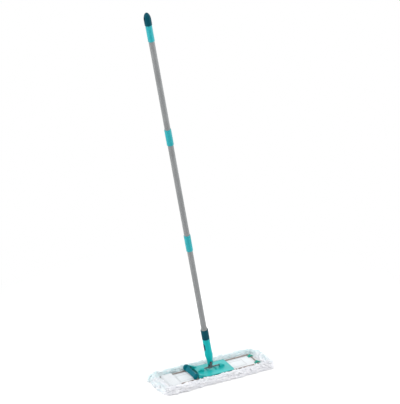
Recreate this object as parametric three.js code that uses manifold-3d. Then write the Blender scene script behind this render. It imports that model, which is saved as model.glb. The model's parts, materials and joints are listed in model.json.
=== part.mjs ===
// Flat floor mop: a soft washable cover on a folding wire frame, a centre plate with a foot pedal,
// a two-axis joint, and a three-piece plug-together handle with a snap button and a hanging eye.
// Millimetres. X runs along the head, Y from front to back, Z up; the origin is the middle of the sole.
import * as THREE from 'three';
import Module from 'manifold-3d';
import { mergeVertices } from 'three/addons/utils/BufferGeometryUtils.js';

// Running gap between neighbours, and how far a cutting shape runs past what it cuts
const gap = 0.3;
const overrun = 1;
const weldTolerance = 0.0001;
// Facets round a large and a small turned piece
const turnedSides = 36;
const pinSides = 20;

// Cleaning cover: a thick cloth pad with a puffy tufted border
const headLength = 450;
const headWidth = 153;
const headCornerRadius = 26;
const clothHeight = 9.8;
const borderHeight = 21;
const sideBorderWidth = 26.5;
const endBorderWidth = 31;
const innerCornerRadius = 3;
const tuftPitch = 17;
const tuftRelief = 1.8;
const foldLift = 0.6;
const foldGap = 0.65;
// Border section from the sole's edge, over the crown, to the cloth: depth in from the rim, and height
const borderDepthShares = [0.12, 0.02, 0, 0.05, 0.19, 0.42, 0.68, 0.9, 1];
const borderHeightShares = [0, 0.16, 0.4, 0.68, 0.91, 1, 0.9, 0.66, 0];
const tuftSteps = 4;

// Wire frame: two U-shaped wings hung under the plate
const wireDiameter = 4.5;
const wireSideInset = 12;
const wireEndInset = 18;
const wireCornerRadius = 6;
const hingeInset = 23.5;
const hingeBend = 4.5;
const hingeStub = 5;
const wireSides = 8;
const wireBendSteps = 6;

// Centre plate
const plateLength = 147;
const plateCornerRadius = 8;
const plateSkin = 2.5;
const plateBevel = 0.7;
const skirtWall = 1.6;
const skirtClearance = 0.45;
const ribWall = 1.8;
const ribSpacing = 40;
const bearingWidth = 8;
const bearingLength = 3.6;
const bearingClearance = 0.6;
const bearingLip = 1.5;
const bossRadius = 21;
const bossRise = 2.6;
const bossBevel = 1.3;
const humpLength = 21;
const humpWidth = 13;
const humpTipWidth = 4;
const humpWall = 2;
const humpTipRise = 0.8;
const troughLength = 17;
const troughClearance = 0.85;
const troughDepth = 4.4;
const troughSkin = 1.8;
const towerRise = 13.6;
const towerRun = 33.5;
const towerFlat = 3.5;
const towerEdgeDrop = 1.2;

// Joint: a rod along X in the plate's humps, and a steel yoke on it that carries the handle's pin
const rodDiameter = 5;
const rodRise = 8.2;
const rodShown = 32.5;
const rodSeat = 4;
const yokeOffset = 5.4;
const barrelRadius = 4.5;
const barrelLength = 14;
const yokeSheet = 1.6;
const yokeWidth = 10;
const yokeSink = 0.4;
const yokePinHeight = 19.4;
const yokePinRadius = 2.5;
const washerThickness = 0.6;
const washerRadius = 5;
const pinHeadRadius = 4;
const pinHeadHeight = 1.2;
const channelClearance = 0.8;

// Neck, snap button and adapter ring, heights measured from the yoke's pin along the handle
const handleLean = 10.07;
const tongueThickness = 9.8;
const tongueRadius = 9.6;
const neckFoot = 9.5;
const neckFootRadius = 10.2;
const neckWaist = 21.5;
const neckWaistRadius = 12.6;
const neckBelly = 34;
const neckBellyRadius = 14.4;
const neckShoulder = 52;
const neckWall = 3;
const neckTop = 101.8;
const neckBevel = 0.8;
const neckFloor = 40;
const spigotRadius = 10;
const spigotWall = 1.8;
const ringLength = 39.5;
const ringWall = 3.4;
const ringShelf = 1.6;
const collarLength = 5.6;
const collarWall = 1.3;
const collarBevel = 0.5;
const buttonHeight = 70.1;
const buttonLength = 30;
const buttonWidth = 13;
const buttonProud = 0.3;
const flangeLength = 36;
const flangeWidth = 9;
const flangeThickness = 1.2;
const springStrip = 0.5;
const springWidth = 5.6;
const springLength = 18;
const springBend = 12;

// Handle tubes and couplings
const tubeRadius = 10;
const tubeWall = 1;
const slideClearance = 0.25;
const lowerTubeShown = 323.5;
const lowerCouplingLength = 62.7;
const middleTubeShown = 354.6;
const upperCouplingLength = 59.1;
const upperTubeShown = 325.8;
const couplingWall = 1.55;
const couplingBevel = 0.9;
const couplingStop = 2;
const couplingStopWall = 1.1;
const couplingSeatShare = 0.5;
const couplingGroove = 0.5;
const couplingGrooveWidth = 2.4;
const couplingLip = 7;
const gripLength = 57.5;
const gripWall = 0.9;
const gripBevel = 0.5;
const capLength = 44.1;
const capRim = 2.4;
const capBevel = 0.8;
const capNose = 25;
const capPlugLength = 26;
const capSteps = 8;
const eyeDepth = 19;
const eyeLength = 12;
const eyeWidth = 8;

// Foot pedal, a dished bar on two arms that turn on pins in the towers
const pedalPivotInset = 4;
const pedalPivotRise = 6.6;
const pedalReach = 25;
const pedalDepth = 19.5;
const pedalHeight = 21.5;
const pedalDrop = 9.5;
const pedalArm = 3;
const pedalEndWall = 7.5;
const pedalEndFlare = 0.25;
const pedalEndFoot = 1.5;
const pedalHollowSkin = 1.6;
const pedalHollowDepth = 6;
const pedalEye = 4.2;
const pedalSlope = 60;
const pedalDish = 3.5;
const pedalCrownDish = 7;
const pedalNotch = 5;
const pedalNotchClearance = 0.5;
const pedalPinRadius = 1.8;
const pedalPinSeat = 6;
const pedalPinHead = 3.2;
const pedalPinHeadHeight = 1;
const pedalSpringWidth = 14;
const pedalSpringStrip = 0.7;
const pedalSpringRoot = 9.5;
const pedalSpringRun = 6.8;
const pedalSpringRise = 7;
const pedalSpringKneeShare = 0.35;
// Section of the bar, from its lower front corner round: shares of its depth and height
const pedalSectionShares = [
  [0.05, 0.21],
  [0, 0.53],
  [0.15, 0.86],
  [0.41, 1],
  [0.92, 0.95],
  [1, 0.81],
  [0.59, 0.12],
  [0.41, 0],
];
const pedalToeShare = 0.36;

// Pocket over the left wire end, its studs, and the clips on the right wire end
const pocketCover = 31.5;
const pocketInset = 1.5;
const pocketThickness = 1.5;
const pocketSlope = 5.5;
const studRadius = 3.2;
const studHeight = 1.8;
const studSideInset = 9;
const studInset = 4.5;
const clipClearance = 0.7;
const clipWidth = 11;
const clipWall = 2.2;
const clipFoot = 5;
const clipFootThickness = 2;

// Sizes that follow from the ones above
const rimHalf = headLength / 2;
const sideHalf = headWidth / 2;
const clothEnd = rimHalf - endBorderWidth;
const clothSide = sideHalf - sideBorderWidth;
const wireRadius = wireDiameter / 2;
const legY = clothSide - wireSideInset;
const wireReach = clothEnd - wireEndInset;
const wireZ = clothHeight + gap + wireRadius;
const plateUnder = wireZ + wireRadius + gap;
const plateTop = plateUnder + plateSkin;
const skirtBottom = clothHeight + gap;
const halfPlate = plateLength / 2;
const halfPlateWidth = legY + wireRadius + skirtClearance + skirtWall;
const hingeDistance = halfPlate - hingeInset;
const troughHalfWidth = legY - wireRadius - troughClearance - skirtWall;
const jointZ = plateTop + rodRise;
const rodRadius = rodDiameter / 2;
const middleHalf = hingeDistance - wireZ - foldGap;
const wingStart = hingeDistance + wireZ;
const lean = THREE.MathUtils.degToRad(handleLean);
const washerInner = tongueThickness / 2 + gap;
const earInner = washerInner + washerThickness + gap;
const earOuter = earInner + yokeSheet;
const neckRadius = spigotRadius + gap + neckWall;
const ringRadius = tubeRadius + gap + ringWall;
const collarRadius = tubeRadius + gap + collarWall;
const couplingRadius = tubeRadius + gap + couplingWall;
const gripRadius = tubeRadius + gap + gripWall;
const capRadius = tubeRadius + capRim;
const pivotX = pedalPivotInset - halfPlate;
const pivotZ = plateTop + pedalPivotRise;
const spigotBore = spigotRadius - spigotWall;

const petrol = { color: 0x0d4a5a, roughness: 0.45, metalness: 0 };
const turquoise = { color: 0x1fb0b4, roughness: 0.42, metalness: 0 };
const plateTurquoise = { color: 0x52bcbe, roughness: 0.45, metalness: 0 };
const steel = { color: 0x8d8f90, roughness: 0.35, metalness: 0.9 };
const darkSteel = { color: 0x5b5450, roughness: 0.4, metalness: 0.8 };
const tubeGrey = { color: 0xa9abac, roughness: 0.4, metalness: 0.5 };
const lightGrey = { color: 0xc9cccd, roughness: 0.5, metalness: 0 };
const clipGreen = { color: 0x08705f, roughness: 0.5, metalness: 0 };
const microfibre = { color: 0xf2f4f3, roughness: 0.95, metalness: 0 };

const wasm = await Module();
wasm.setup();

// Basic operations

function toSolid(geometry) {
  const bare = geometry.clone();
  bare.deleteAttribute('normal');
  bare.deleteAttribute('uv');
  const merged = mergeVertices(bare, weldTolerance);
  return new wasm.Manifold(new wasm.Mesh({
    numProp: 3,
    vertProperties: Float32Array.from(merged.attributes.position.array),
    triVerts: Uint32Array.from(merged.index.array),
  }));
}

function toGeometry(solid) {
  const mesh = solid.getMesh();
  const geometry = new THREE.BufferGeometry();
  geometry.setAttribute('position', new THREE.BufferAttribute(mesh.vertProperties, 3));
  geometry.setIndex(new THREE.BufferAttribute(mesh.triVerts, 1));
  geometry.computeVertexNormals();
  return geometry;
}

function union(solids) {
  return solids.reduce((whole, solid) => whole.add(solid));
}

function addMesh(parent, name, shape, look) {
  const geometry = shape.isBufferGeometry ? shape : toGeometry(shape);
  const mesh = new THREE.Mesh(geometry, new THREE.MeshStandardMaterial(look));
  mesh.name = name;
  parent.add(mesh);
  return mesh;
}

function block(x0, x1, y0, y1, z0, z1) {
  const box = new THREE.BoxGeometry(x1 - x0, y1 - y0, z1 - z0);
  box.translate((x0 + x1) / 2, (y0 + y1) / 2, (z0 + z1) / 2);
  return toSolid(box);
}

// A round bar along 'x', 'y' or 'z' from one coordinate to another, about the given centre
function bar(axis, radius, from, to, centre, sides = pinSides) {
  const cylinder = new THREE.CylinderGeometry(radius, radius, to - from, sides);
  if (axis === 'x') cylinder.rotateZ(-Math.PI / 2);
  if (axis === 'z') cylinder.rotateX(Math.PI / 2);
  cylinder.translate(centre.x, centre.y, centre.z);
  const along = new THREE.Vector3();
  along[axis] = (from + to) / 2 - centre[axis];
  cylinder.translate(along.x, along.y, along.z);
  return toSolid(cylinder);
}

// A profile of [radius, height] pairs turned about Z
function turned(profile, sides = turnedSides) {
  const points = profile.map(([radius, height]) => new THREE.Vector2(radius, height));
  const lathe = new THREE.LatheGeometry(points, sides);
  lathe.rotateX(Math.PI / 2);
  return toSolid(lathe);
}

function tubeProfile(inner, outer, from, to, bevel) {
  return [
    [inner, from],
    [outer - bevel, from],
    [outer, from + bevel],
    [outer, to - bevel],
    [outer - bevel, to],
    [inner, to],
    [inner, from],
  ];
}

function extruded(shape, depth, curveSegments = 8) {
  return new THREE.ExtrudeGeometry(shape, { depth, bevelEnabled: false, curveSegments });
}

// A shape drawn in X and Y, raised between two heights
function plan(shape, z0, z1) {
  const geometry = extruded(shape, z1 - z0);
  geometry.translate(0, 0, z0);
  return toSolid(geometry);
}

// A shape drawn in X and Z, extended along Y
function sideways(shape, y0, y1) {
  const geometry = extruded(shape, y1 - y0);
  geometry.rotateX(Math.PI / 2);
  geometry.translate(0, y1, 0);
  return toSolid(geometry);
}

// A shape drawn in Y and Z, extended along X
function lengthways(shape, x0, x1) {
  const geometry = extruded(shape, x1 - x0);
  geometry.rotateZ(Math.PI / 2);
  geometry.rotateY(Math.PI / 2);
  geometry.translate(x0, 0, 0);
  return toSolid(geometry);
}

function polygon(points) {
  return new THREE.Shape(points.map(([a, b]) => new THREE.Vector2(a, b)));
}

function roundedRectangle(width, height, radius) {
  const shape = new THREE.Shape();
  const a = width / 2;
  const b = height / 2;
  shape.moveTo(radius - a, -b);
  shape.lineTo(a - radius, -b);
  shape.absarc(a - radius, radius - b, radius, -Math.PI / 2, 0);
  shape.lineTo(a, b - radius);
  shape.absarc(a - radius, b - radius, radius, 0, Math.PI / 2);
  shape.lineTo(radius - a, b);
  shape.absarc(radius - a, b - radius, radius, Math.PI / 2, Math.PI);
  shape.lineTo(-a, radius - b);
  shape.absarc(radius - a, radius - b, radius, Math.PI, Math.PI * 1.5);
  return shape;
}

function mirrored(solid, axis) {
  return solid.mirror([axis === 'x' ? 1 : 0, axis === 'y' ? 1 : 0, axis === 'z' ? 1 : 0]);
}

// Cleaning cover

// Tuft swelling at a run along the border, from 0 between tufts to 1 on a tuft
function tuftShare(run) {
  return 0.5 - 0.5 * Math.cos((2 * Math.PI * run) / tuftPitch);
}

// One border section: rim is the outer point, inner is where the cloth starts, out points outwards
function borderSection(rim, inner, out, run, lift) {
  const dip = tuftRelief * (1 - tuftShare(run));
  const last = borderDepthShares.length - 1;
  return borderDepthShares.map((depth, i) => {
    const rise = borderHeightShares[i];
    const point = new THREE.Vector3().lerpVectors(rim, inner, depth);
    if (i === last) {
      point.z = clothHeight;
      return point;
    }
    point.addScaledVector(out, -dip * rise * (1 - depth));
    point.z = Math.max(lift, (borderHeight - dip) * rise);
    return point;
  });
}

// Closed surface from a row of closed rings with the same number of points, and its two end caps
function closedFrom(rings, caps) {
  const positions = [];
  const indices = [];
  const count = rings[0].length;
  rings.flat().forEach((p) => positions.push(p.x, p.y, p.z));
  for (let r = 0; r < rings.length - 1; r += 1) {
    for (let i = 0; i < count; i += 1) {
      const a = r * count + i;
      const b = r * count + ((i + 1) % count);
      indices.push(a, b, a + count, b, b + count, a + count);
    }
  }
  caps(indices);
  return finished(positions, indices);
}

// Builds the geometry with its faces pointing out
function finished(positions, indices) {
  let volume = 0;
  const p = (i) => new THREE.Vector3(positions[i * 3], positions[i * 3 + 1], positions[i * 3 + 2]);
  for (let i = 0; i < indices.length; i += 3) {
    volume += p(indices[i]).dot(p(indices[i + 1]).cross(p(indices[i + 2])));
  }
  const ordered = volume > 0 ? indices : [...indices].reverse();
  const geometry = new THREE.BufferGeometry();
  geometry.setAttribute('position', new THREE.Float32BufferAttribute(positions, 3));
  geometry.setIndex(ordered);
  geometry.computeVertexNormals();
  return geometry;
}

// A straight stretch of the cover between two places along X
function coverStretch(x0, x1, lift) {
  const steps = Math.max(2, Math.round(((x1 - x0) / tuftPitch) * tuftSteps));
  const rings = [];
  for (let i = 0; i <= steps; i += 1) {
    const x = x0 + ((x1 - x0) * i) / steps;
    const ring = [];
    for (const side of [1, -1]) {
      const rim = new THREE.Vector3(x, side * sideHalf, 0);
      const inner = new THREE.Vector3(x, side * clothSide, 0);
      const out = new THREE.Vector3(0, side, 0);
      const section = borderSection(rim, inner, out, Math.abs(x), lift);
      ring.push(...(side > 0 ? section : section.reverse()));
    }
    rings.push(ring);
  }
  return closedFrom(rings, (indices) => {
    const count = rings[0].length;
    const outline = rings[0].map((p) => new THREE.Vector2(p.y, p.z));
    const faces = THREE.ShapeUtils.triangulateShape(outline, []);
    const last = (rings.length - 1) * count;
    faces.forEach(([a, b, c]) => {
      indices.push(a, c, b);
      indices.push(last + a, last + b, last + c);
    });
  });
}

// The outline of a wing's cover as [rim, inner, out, run] stations, from the back to the front
function wingStations(start) {
  const stations = [];
  const rimX = rimHalf - headCornerRadius;
  const rimY = sideHalf - headCornerRadius;
  const innerX = clothEnd - innerCornerRadius;
  const innerY = clothSide - innerCornerRadius;
  const stretch = rimX - start;
  const arc = (headCornerRadius * Math.PI) / 2;
  const sideSteps = Math.round((stretch / tuftPitch) * tuftSteps);
  const arcSteps = Math.round((arc / tuftPitch) * tuftSteps);
  const endSteps = Math.round((rimY / tuftPitch) * tuftSteps);
  for (let i = 0; i < sideSteps; i += 1) {
    const t = i / sideSteps;
    const rim = new THREE.Vector3(start + stretch * t, sideHalf, 0);
    const inner = new THREE.Vector3(start + (innerX - start) * t, clothSide, 0);
    stations.push([rim, inner, new THREE.Vector3(0, 1, 0), start + stretch * t]);
  }
  for (let i = 0; i < arcSteps; i += 1) {
    const angle = (Math.PI / 2) * (1 - i / arcSteps);
    const out = new THREE.Vector3(Math.cos(angle), Math.sin(angle), 0);
    const rim = new THREE.Vector3(rimX, rimY, 0).addScaledVector(out, headCornerRadius);
    const inner = new THREE.Vector3(innerX, innerY, 0).addScaledVector(out, innerCornerRadius);
    stations.push([rim, inner, out, rimX + (arc * i) / arcSteps]);
  }
  for (let i = 0; i < endSteps; i += 1) {
    const t = 1 - i / endSteps;
    const rim = new THREE.Vector3(rimHalf, rimY * t, 0);
    const inner = new THREE.Vector3(clothEnd, innerY * t, 0);
    stations.push([rim, inner, new THREE.Vector3(1, 0, 0), rimX + arc + rimY * (1 - t)]);
  }
  const middle = [
    new THREE.Vector3(rimHalf, 0, 0),
    new THREE.Vector3(clothEnd, 0, 0),
    new THREE.Vector3(1, 0, 0),
    rimX + arc + rimY,
  ];
  const flip = new THREE.Vector3(1, -1, 1);
  const front = [...stations].reverse().map(([rim, inner, out, run]) => [
    rim.clone().multiply(flip),
    inner.clone().multiply(flip),
    out.clone().multiply(flip),
    run,
  ]);
  return { all: [...stations, middle, ...front], sideSteps };
}

// The cover on one wing: side is 1 on the right and -1 on the left
function wingCover(side) {
  const { all, sideSteps } = wingStations(wingStart);
  const flip = new THREE.Vector3(side, 1, 1);
  const sections = all.map(([rim, inner, out, run]) => borderSection(rim, inner, out, run, 0));
  const positions = [];
  const indices = [];
  const rows = borderDepthShares.length;
  const last = sections.length - 1;
  sections.flat().forEach((p) => positions.push(p.x * flip.x, p.y, p.z));
  const at = (station, row) => station * rows + row;
  for (let s = 0; s < last; s += 1) {
    for (let r = 0; r < rows - 1; r += 1) {
      indices.push(at(s, r), at(s + 1, r), at(s, r + 1));
      indices.push(at(s + 1, r), at(s + 1, r + 1), at(s, r + 1));
    }
  }
  // Sole and cloth: strips across the head, then a fan over the far end
  for (const row of [0, rows - 1]) {
    const turn = (a, b, c) => (row === 0 ? indices.push(a, c, b) : indices.push(a, b, c));
    for (let s = 0; s < sideSteps; s += 1) {
      turn(at(s, row), at(s + 1, row), at(last - s, row));
      turn(at(s + 1, row), at(last - s - 1, row), at(last - s, row));
    }
    const a = sections[sideSteps][row];
    const b = sections[(last - (last % 2)) / 2][row];
    const hub = positions.length / 3;
    positions.push((flip.x * (a.x + b.x)) / 2, 0, a.z);
    for (let s = sideSteps; s < last - sideSteps; s += 1) {
      turn(at(s, row), at(s + 1, row), hub);
    }
    turn(at(last - sideSteps, row), at(sideSteps, row), hub);
  }
  // Flat end under the plate
  const rim = [];
  for (let r = 0; r < rows; r += 1) rim.push(at(0, r));
  for (let r = rows - 1; r >= 0; r -= 1) rim.push(at(last, r));
  const outline = rim.map((i) => new THREE.Vector2(positions[i * 3 + 1], positions[i * 3 + 2]));
  THREE.ShapeUtils.triangulateShape(outline, []).forEach(([a, b, c]) => {
    indices.push(rim[a], rim[b], rim[c]);
  });
  return finished(positions, indices);
}

// Wire frame

// Curves of one U-shaped wing from stub to stub, side 1 on the right and -1 on the left
function wireCurves(side) {
  const at = (x, y) => new THREE.Vector3(side * x, y, wireZ);
  const half = [
    at(hingeDistance, legY - hingeBend - hingeStub),
    at(hingeDistance, legY - hingeBend),
    at(hingeDistance, legY),
    at(hingeDistance + hingeBend, legY),
    at(wireReach - wireCornerRadius, legY),
    at(wireReach, legY),
    at(wireReach, legY - wireCornerRadius),
  ];
  const other = half.map((p) => new THREE.Vector3(p.x, -p.y, p.z));
  return [
    new THREE.LineCurve3(half[0], half[1]),
    new THREE.QuadraticBezierCurve3(half[1], half[2], half[3]),
    new THREE.LineCurve3(half[3], half[4]),
    new THREE.QuadraticBezierCurve3(half[4], half[5], half[6]),
    new THREE.LineCurve3(half[6], other[6]),
    new THREE.QuadraticBezierCurve3(other[6], other[5], other[4]),
    new THREE.LineCurve3(other[4], other[3]),
    new THREE.QuadraticBezierCurve3(other[3], other[2], other[1]),
    new THREE.LineCurve3(other[1], other[0]),
  ];
}

// Straight runs and bends meet face to face and join into one wire
function wireFrame(side) {
  const circle = new THREE.Shape();
  circle.absarc(0, 0, wireRadius, 0, Math.PI * 2);
  return union(wireCurves(side).map((curve) => toSolid(new THREE.ExtrudeGeometry(circle, {
    steps: curve.isLineCurve3 ? 1 : wireBendSteps,
    curveSegments: wireSides,
    extrudePath: curve,
    bevelEnabled: false,
  }))));
}

// Centre plate

function plateShell() {
  const outline = roundedRectangle(plateLength, halfPlateWidth * 2, plateCornerRadius);
  const top = new THREE.ExtrudeGeometry(outline, {
    depth: plateSkin - plateBevel,
    bevelThickness: plateBevel,
    bevelSize: plateBevel,
    bevelOffset: -plateBevel,
    bevelSegments: 1,
    curveSegments: 4,
  });
  top.translate(0, 0, plateUnder);
  const slab = toSolid(top).intersect(
    block(-halfPlate, halfPlate, -halfPlateWidth, halfPlateWidth, plateUnder, plateTop + overrun),
  );
  const inside = roundedRectangle(
    plateLength - skirtWall * 2,
    (halfPlateWidth - skirtWall) * 2,
    plateCornerRadius - skirtWall,
  );
  const skirt = plan(outline, skirtBottom, plateUnder + gap).subtract(
    plan(inside, skirtBottom - overrun, plateUnder + gap + overrun),
  );
  return slab.add(skirt);
}

// Side towers that carry the pedal, sloping down to the plate's top
function towers() {
  const low = plateUnder + gap;
  const high = plateTop + towerRise;
  const side = polygon([
    [-halfPlate, low],
    [towerRun - halfPlate, low],
    [towerRun - halfPlate, plateTop],
    [towerFlat - halfPlate, high],
    [-halfPlate, high - towerEdgeDrop],
  ]);
  const tower = sideways(side, troughHalfWidth, halfPlateWidth);
  return tower.add(mirrored(tower, 'y'));
}

// Boat-shaped humps that hold the ends of the rod
function hump() {
  const tip = rodShown + humpLength;
  const top = jointZ + rodRadius + humpWall;
  const outline = new THREE.Shape();
  outline.moveTo(rodShown, -humpWidth / 2);
  outline.quadraticCurveTo((rodShown + tip) / 2, -humpWidth / 2, tip, -humpTipWidth / 2);
  outline.lineTo(tip, humpTipWidth / 2);
  outline.quadraticCurveTo((rodShown + tip) / 2, humpWidth / 2, rodShown, humpWidth / 2);
  const crest = new THREE.Shape();
  crest.moveTo(rodShown - overrun, plateUnder);
  crest.lineTo(tip + overrun, plateUnder);
  crest.lineTo(tip + overrun, plateTop + humpTipRise);
  crest.quadraticCurveTo((rodShown + tip * 2) / 3, top, rodShown + rodSeat, top);
  crest.lineTo(rodShown - overrun, top);
  const dome = bar('x', humpWidth / 2, rodShown, tip, new THREE.Vector3(0, 0, top - humpWidth / 2));
  const round = dome.add(
    block(rodShown, tip, -humpWidth / 2, humpWidth / 2, plateUnder, top - humpWidth / 2),
  );
  const body = plan(outline, plateUnder, top).intersect(sideways(crest, -humpWidth, humpWidth));
  return body.intersect(round);
}

// A disc under the joint, with a channel across it for the yoke
function boss() {
  const top = plateTop + bossRise;
  const disc = turned([
    [0, plateUnder],
    [bossRadius, plateUnder],
    [bossRadius, top - bossBevel],
    [bossRadius - bossBevel, top],
    [0, top],
  ]);
  const half = yokeOffset + barrelLength / 2 + channelClearance;
  return disc.subtract(
    block(-half, half, -bossRadius - overrun, bossRadius + overrun, plateTop, top + overrun),
  );
}

// Snap bearings under the plate, open downwards, that hold the ends of the wires
function bearings() {
  const outer = legY - hingeBend - bearingClearance;
  const blocks = [];
  const bores = [];
  for (const wing of [-1, 1]) {
    const x = wing * hingeDistance;
    const one = block(
      x - bearingWidth / 2,
      x + bearingWidth / 2,
      outer - bearingLength,
      outer,
      wireZ - bearingLip,
      plateUnder + gap,
    );
    blocks.push(one, mirrored(one, 'y'));
    const centre = new THREE.Vector3(x, 0, wireZ);
    bores.push(bar('y', wireRadius + gap, -outer - overrun, outer + overrun, centre));
  }
  return union(blocks).subtract(union(bores));
}

// Slots in the end walls through which the wires swing down
function wireSlots() {
  const half = wireRadius + gap;
  const slot = block(
    halfPlate - plateCornerRadius,
    halfPlate + overrun,
    legY - half,
    legY + half,
    skirtBottom - overrun,
    plateUnder,
  );
  const pair = slot.add(mirrored(slot, 'y'));
  return pair.add(mirrored(pair, 'x'));
}

function ribs() {
  const under = plateUnder + gap;
  const along = ribSpacing / 2;
  const long = block(
    troughLength - halfPlate,
    halfPlate - skirtWall / 2,
    along - ribWall / 2,
    along + ribWall / 2,
    skirtBottom,
    under,
  );
  const across = block(
    rodShown - ribWall / 2,
    rodShown + ribWall / 2,
    skirtWall / 2 - halfPlateWidth,
    halfPlateWidth - skirtWall / 2,
    skirtBottom,
    under,
  );
  return union([long, mirrored(long, 'y'), across, mirrored(across, 'x')]);
}

function centrePlate() {
  const troughEnd = troughLength - halfPlate;
  const floor = plateTop - troughDepth;
  const tray = block(
    -halfPlate,
    troughEnd + skirtWall,
    -troughHalfWidth - skirtWall,
    troughHalfWidth + skirtWall,
    floor - troughSkin,
    plateUnder + gap,
  );
  const trough = block(
    -halfPlate - overrun,
    troughEnd,
    -troughHalfWidth,
    troughHalfWidth,
    floor,
    plateTop + overrun,
  );
  const seat = rodShown + rodSeat + gap;
  const jointLine = new THREE.Vector3(0, 0, jointZ);
  const rodBores = bar('x', rodRadius + gap, -seat, seat, jointLine);
  const pinSeat = troughHalfWidth + pedalPinSeat + gap;
  const pinLine = new THREE.Vector3(pivotX, 0, pivotZ);
  const pinBore = bar('y', pedalPinRadius + gap, troughHalfWidth - overrun, pinSeat, pinLine);
  const oneHump = hump();
  const whole = union([
    plateShell(),
    boss(),
    ribs(),
    tray,
    towers(),
    oneHump,
    mirrored(oneHump, 'x'),
  ]);
  const cuts = union([trough, rodBores, pinBore, mirrored(pinBore, 'y'), wireSlots()]);
  return whole.subtract(cuts).add(bearings());
}

// Pedal

// A shallow scoop with flared ends, whose lowest line, in the middle, follows the given slope
function scoop(sagitta, slopeDegrees, x, z) {
  const chord = halfPlateWidth - pedalEndWall - pedalEndFoot;
  const rise = pedalHeight * 2;
  const shape = new THREE.Shape();
  shape.moveTo(-chord - rise * pedalEndFlare, sagitta + rise);
  shape.lineTo(-chord, sagitta);
  shape.quadraticCurveTo(0, -sagitta, chord, sagitta);
  shape.lineTo(chord + rise * pedalEndFlare, sagitta + rise);
  return sideways(shape, -pedalReach * 2, pedalReach * 2)
    .rotate([0, 0, 90])
    .rotate([0, -slopeDegrees, 0])
    .translate([x, 0, z]);
}

function pedalBar() {
  const left = pivotX - pedalReach;
  const low = pivotZ - pedalDrop;
  const outer = troughHalfWidth - gap;
  const section = pedalSectionShares.map(([x, z]) => [left + x * pedalDepth, low + z * pedalHeight]);
  const [, , , , shoulder, , heel] = section;
  const toe = left + pedalToeShare * pedalDepth;
  const arm = new THREE.Shape();
  arm.moveTo(heel[0], heel[1]);
  arm.lineTo(pivotX, pivotZ - pedalEye);
  arm.absarc(pivotX, pivotZ, pedalEye, -Math.PI / 2, Math.PI / 3);
  arm.lineTo(shoulder[0], shoulder[1]);
  const oneArm = sideways(arm, outer - pedalArm, outer);
  const tread = sideways(polygon(section), -halfPlateWidth, halfPlateWidth);
  const notch = block(
    left - overrun,
    left + pedalDepth + overrun,
    legY - wireRadius - pedalNotchClearance,
    legY + wireRadius + pedalNotchClearance,
    low - overrun,
    low + pedalNotch,
  );
  const pinLine = new THREE.Vector3(pivotX, 0, pivotZ);
  const hollow = block(
    toe + pedalHollowSkin,
    shoulder[0] - pedalHollowSkin,
    halfPlateWidth - pedalEndWall + pedalHollowSkin,
    halfPlateWidth - pedalHollowSkin,
    shoulder[1] - pedalHollowDepth,
    low + pedalHeight + overrun,
  );
  const cuts = union([
    scoop(pedalDish, pedalSlope, toe, low),
    scoop(pedalCrownDish / 2, 0, left, low + pedalHeight - pedalCrownDish),
    notch,
    mirrored(notch, 'y'),
    hollow,
    mirrored(hollow, 'y'),
    bar('y', pedalPinRadius + gap, -outer - overrun, outer + overrun, pinLine),
  ]);
  return union([tread, oneArm, mirrored(oneArm, 'y')]).subtract(cuts);
}

// Pivot pin, put in from the trough through one arm and seated in the tower beyond it
function pedalPin(side) {
  const line = new THREE.Vector3(pivotX, 0, pivotZ);
  const face = troughHalfWidth - gap * 2 - pedalArm;
  const shaft = bar('y', pedalPinRadius, face - pedalPinHeadHeight, troughHalfWidth + pedalPinSeat, line);
  const pin = shaft.add(bar('y', pedalPinHead, face - pedalPinHeadHeight, face, line));
  return side > 0 ? pin : mirrored(pin, 'y');
}

// Leaf spring from the trough's floor up to the back of the tread
function pedalSpring() {
  const floor = plateTop - troughDepth + gap;
  const root = pedalSpringRoot - halfPlate;
  const knee = -halfPlate - pedalSpringRun * pedalSpringKneeShare;
  const tip = -halfPlate - pedalSpringRun;
  const shape = polygon([
    [root, floor],
    [root, floor + pedalSpringStrip],
    [knee, floor + pedalSpringStrip],
    [tip, floor + pedalSpringRise],
    [tip - pedalSpringStrip, floor + pedalSpringRise],
    [knee - pedalSpringStrip, floor],
  ]);
  return sideways(shape, -pedalSpringWidth / 2, pedalSpringWidth / 2);
}

// Two-axis joint

// Yoke in its own directions: a barrel on the rod, a web, and two ears for the pin
function jointYoke() {
  const half = barrelLength / 2;
  const origin = new THREE.Vector3();
  const barrel = bar('x', barrelRadius, -half, half, origin, turnedSides);
  const webLow = barrelRadius - yokeSink;
  const web = block(-yokeWidth / 2, yokeWidth / 2, -earOuter, earOuter, webLow, webLow + yokeSheet);
  const ear = new THREE.Shape();
  ear.moveTo(-yokeWidth / 2, webLow);
  ear.lineTo(yokeWidth / 2, webLow);
  ear.lineTo(yokeWidth / 2, yokePinHeight);
  ear.absarc(0, yokePinHeight, yokeWidth / 2, 0, Math.PI);
  const oneEar = sideways(ear, earInner, earOuter);
  const bores = [
    bar('x', rodRadius + gap, -half - overrun, half + overrun, origin),
    bar('y', yokePinRadius + gap, -earOuter - overrun, earOuter + overrun,
      new THREE.Vector3(0, 0, yokePinHeight)),
  ];
  return union([barrel, web, oneEar, mirrored(oneEar, 'y')]).subtract(union(bores));
}

// Pin with a rivet head outside each ear
function yokePin() {
  const centre = new THREE.Vector3(0, 0, yokePinHeight);
  const face = earOuter + gap;
  const end = face + pinHeadHeight;
  const head = bar('y', pinHeadRadius, face, end, centre);
  return union([bar('y', yokePinRadius, -end, end, centre), head, mirrored(head, 'y')]);
}

function yokeWasher(side) {
  const centre = new THREE.Vector3(0, 0, yokePinHeight);
  const outer = washerInner + washerThickness;
  const disc = bar('y', washerRadius, washerInner, outer, centre);
  const washer = disc.subtract(
    bar('y', yokePinRadius + gap, washerInner - overrun, outer + overrun, centre),
  );
  return side > 0 ? washer : mirrored(washer, 'y');
}

// Neck and snap button

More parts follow.
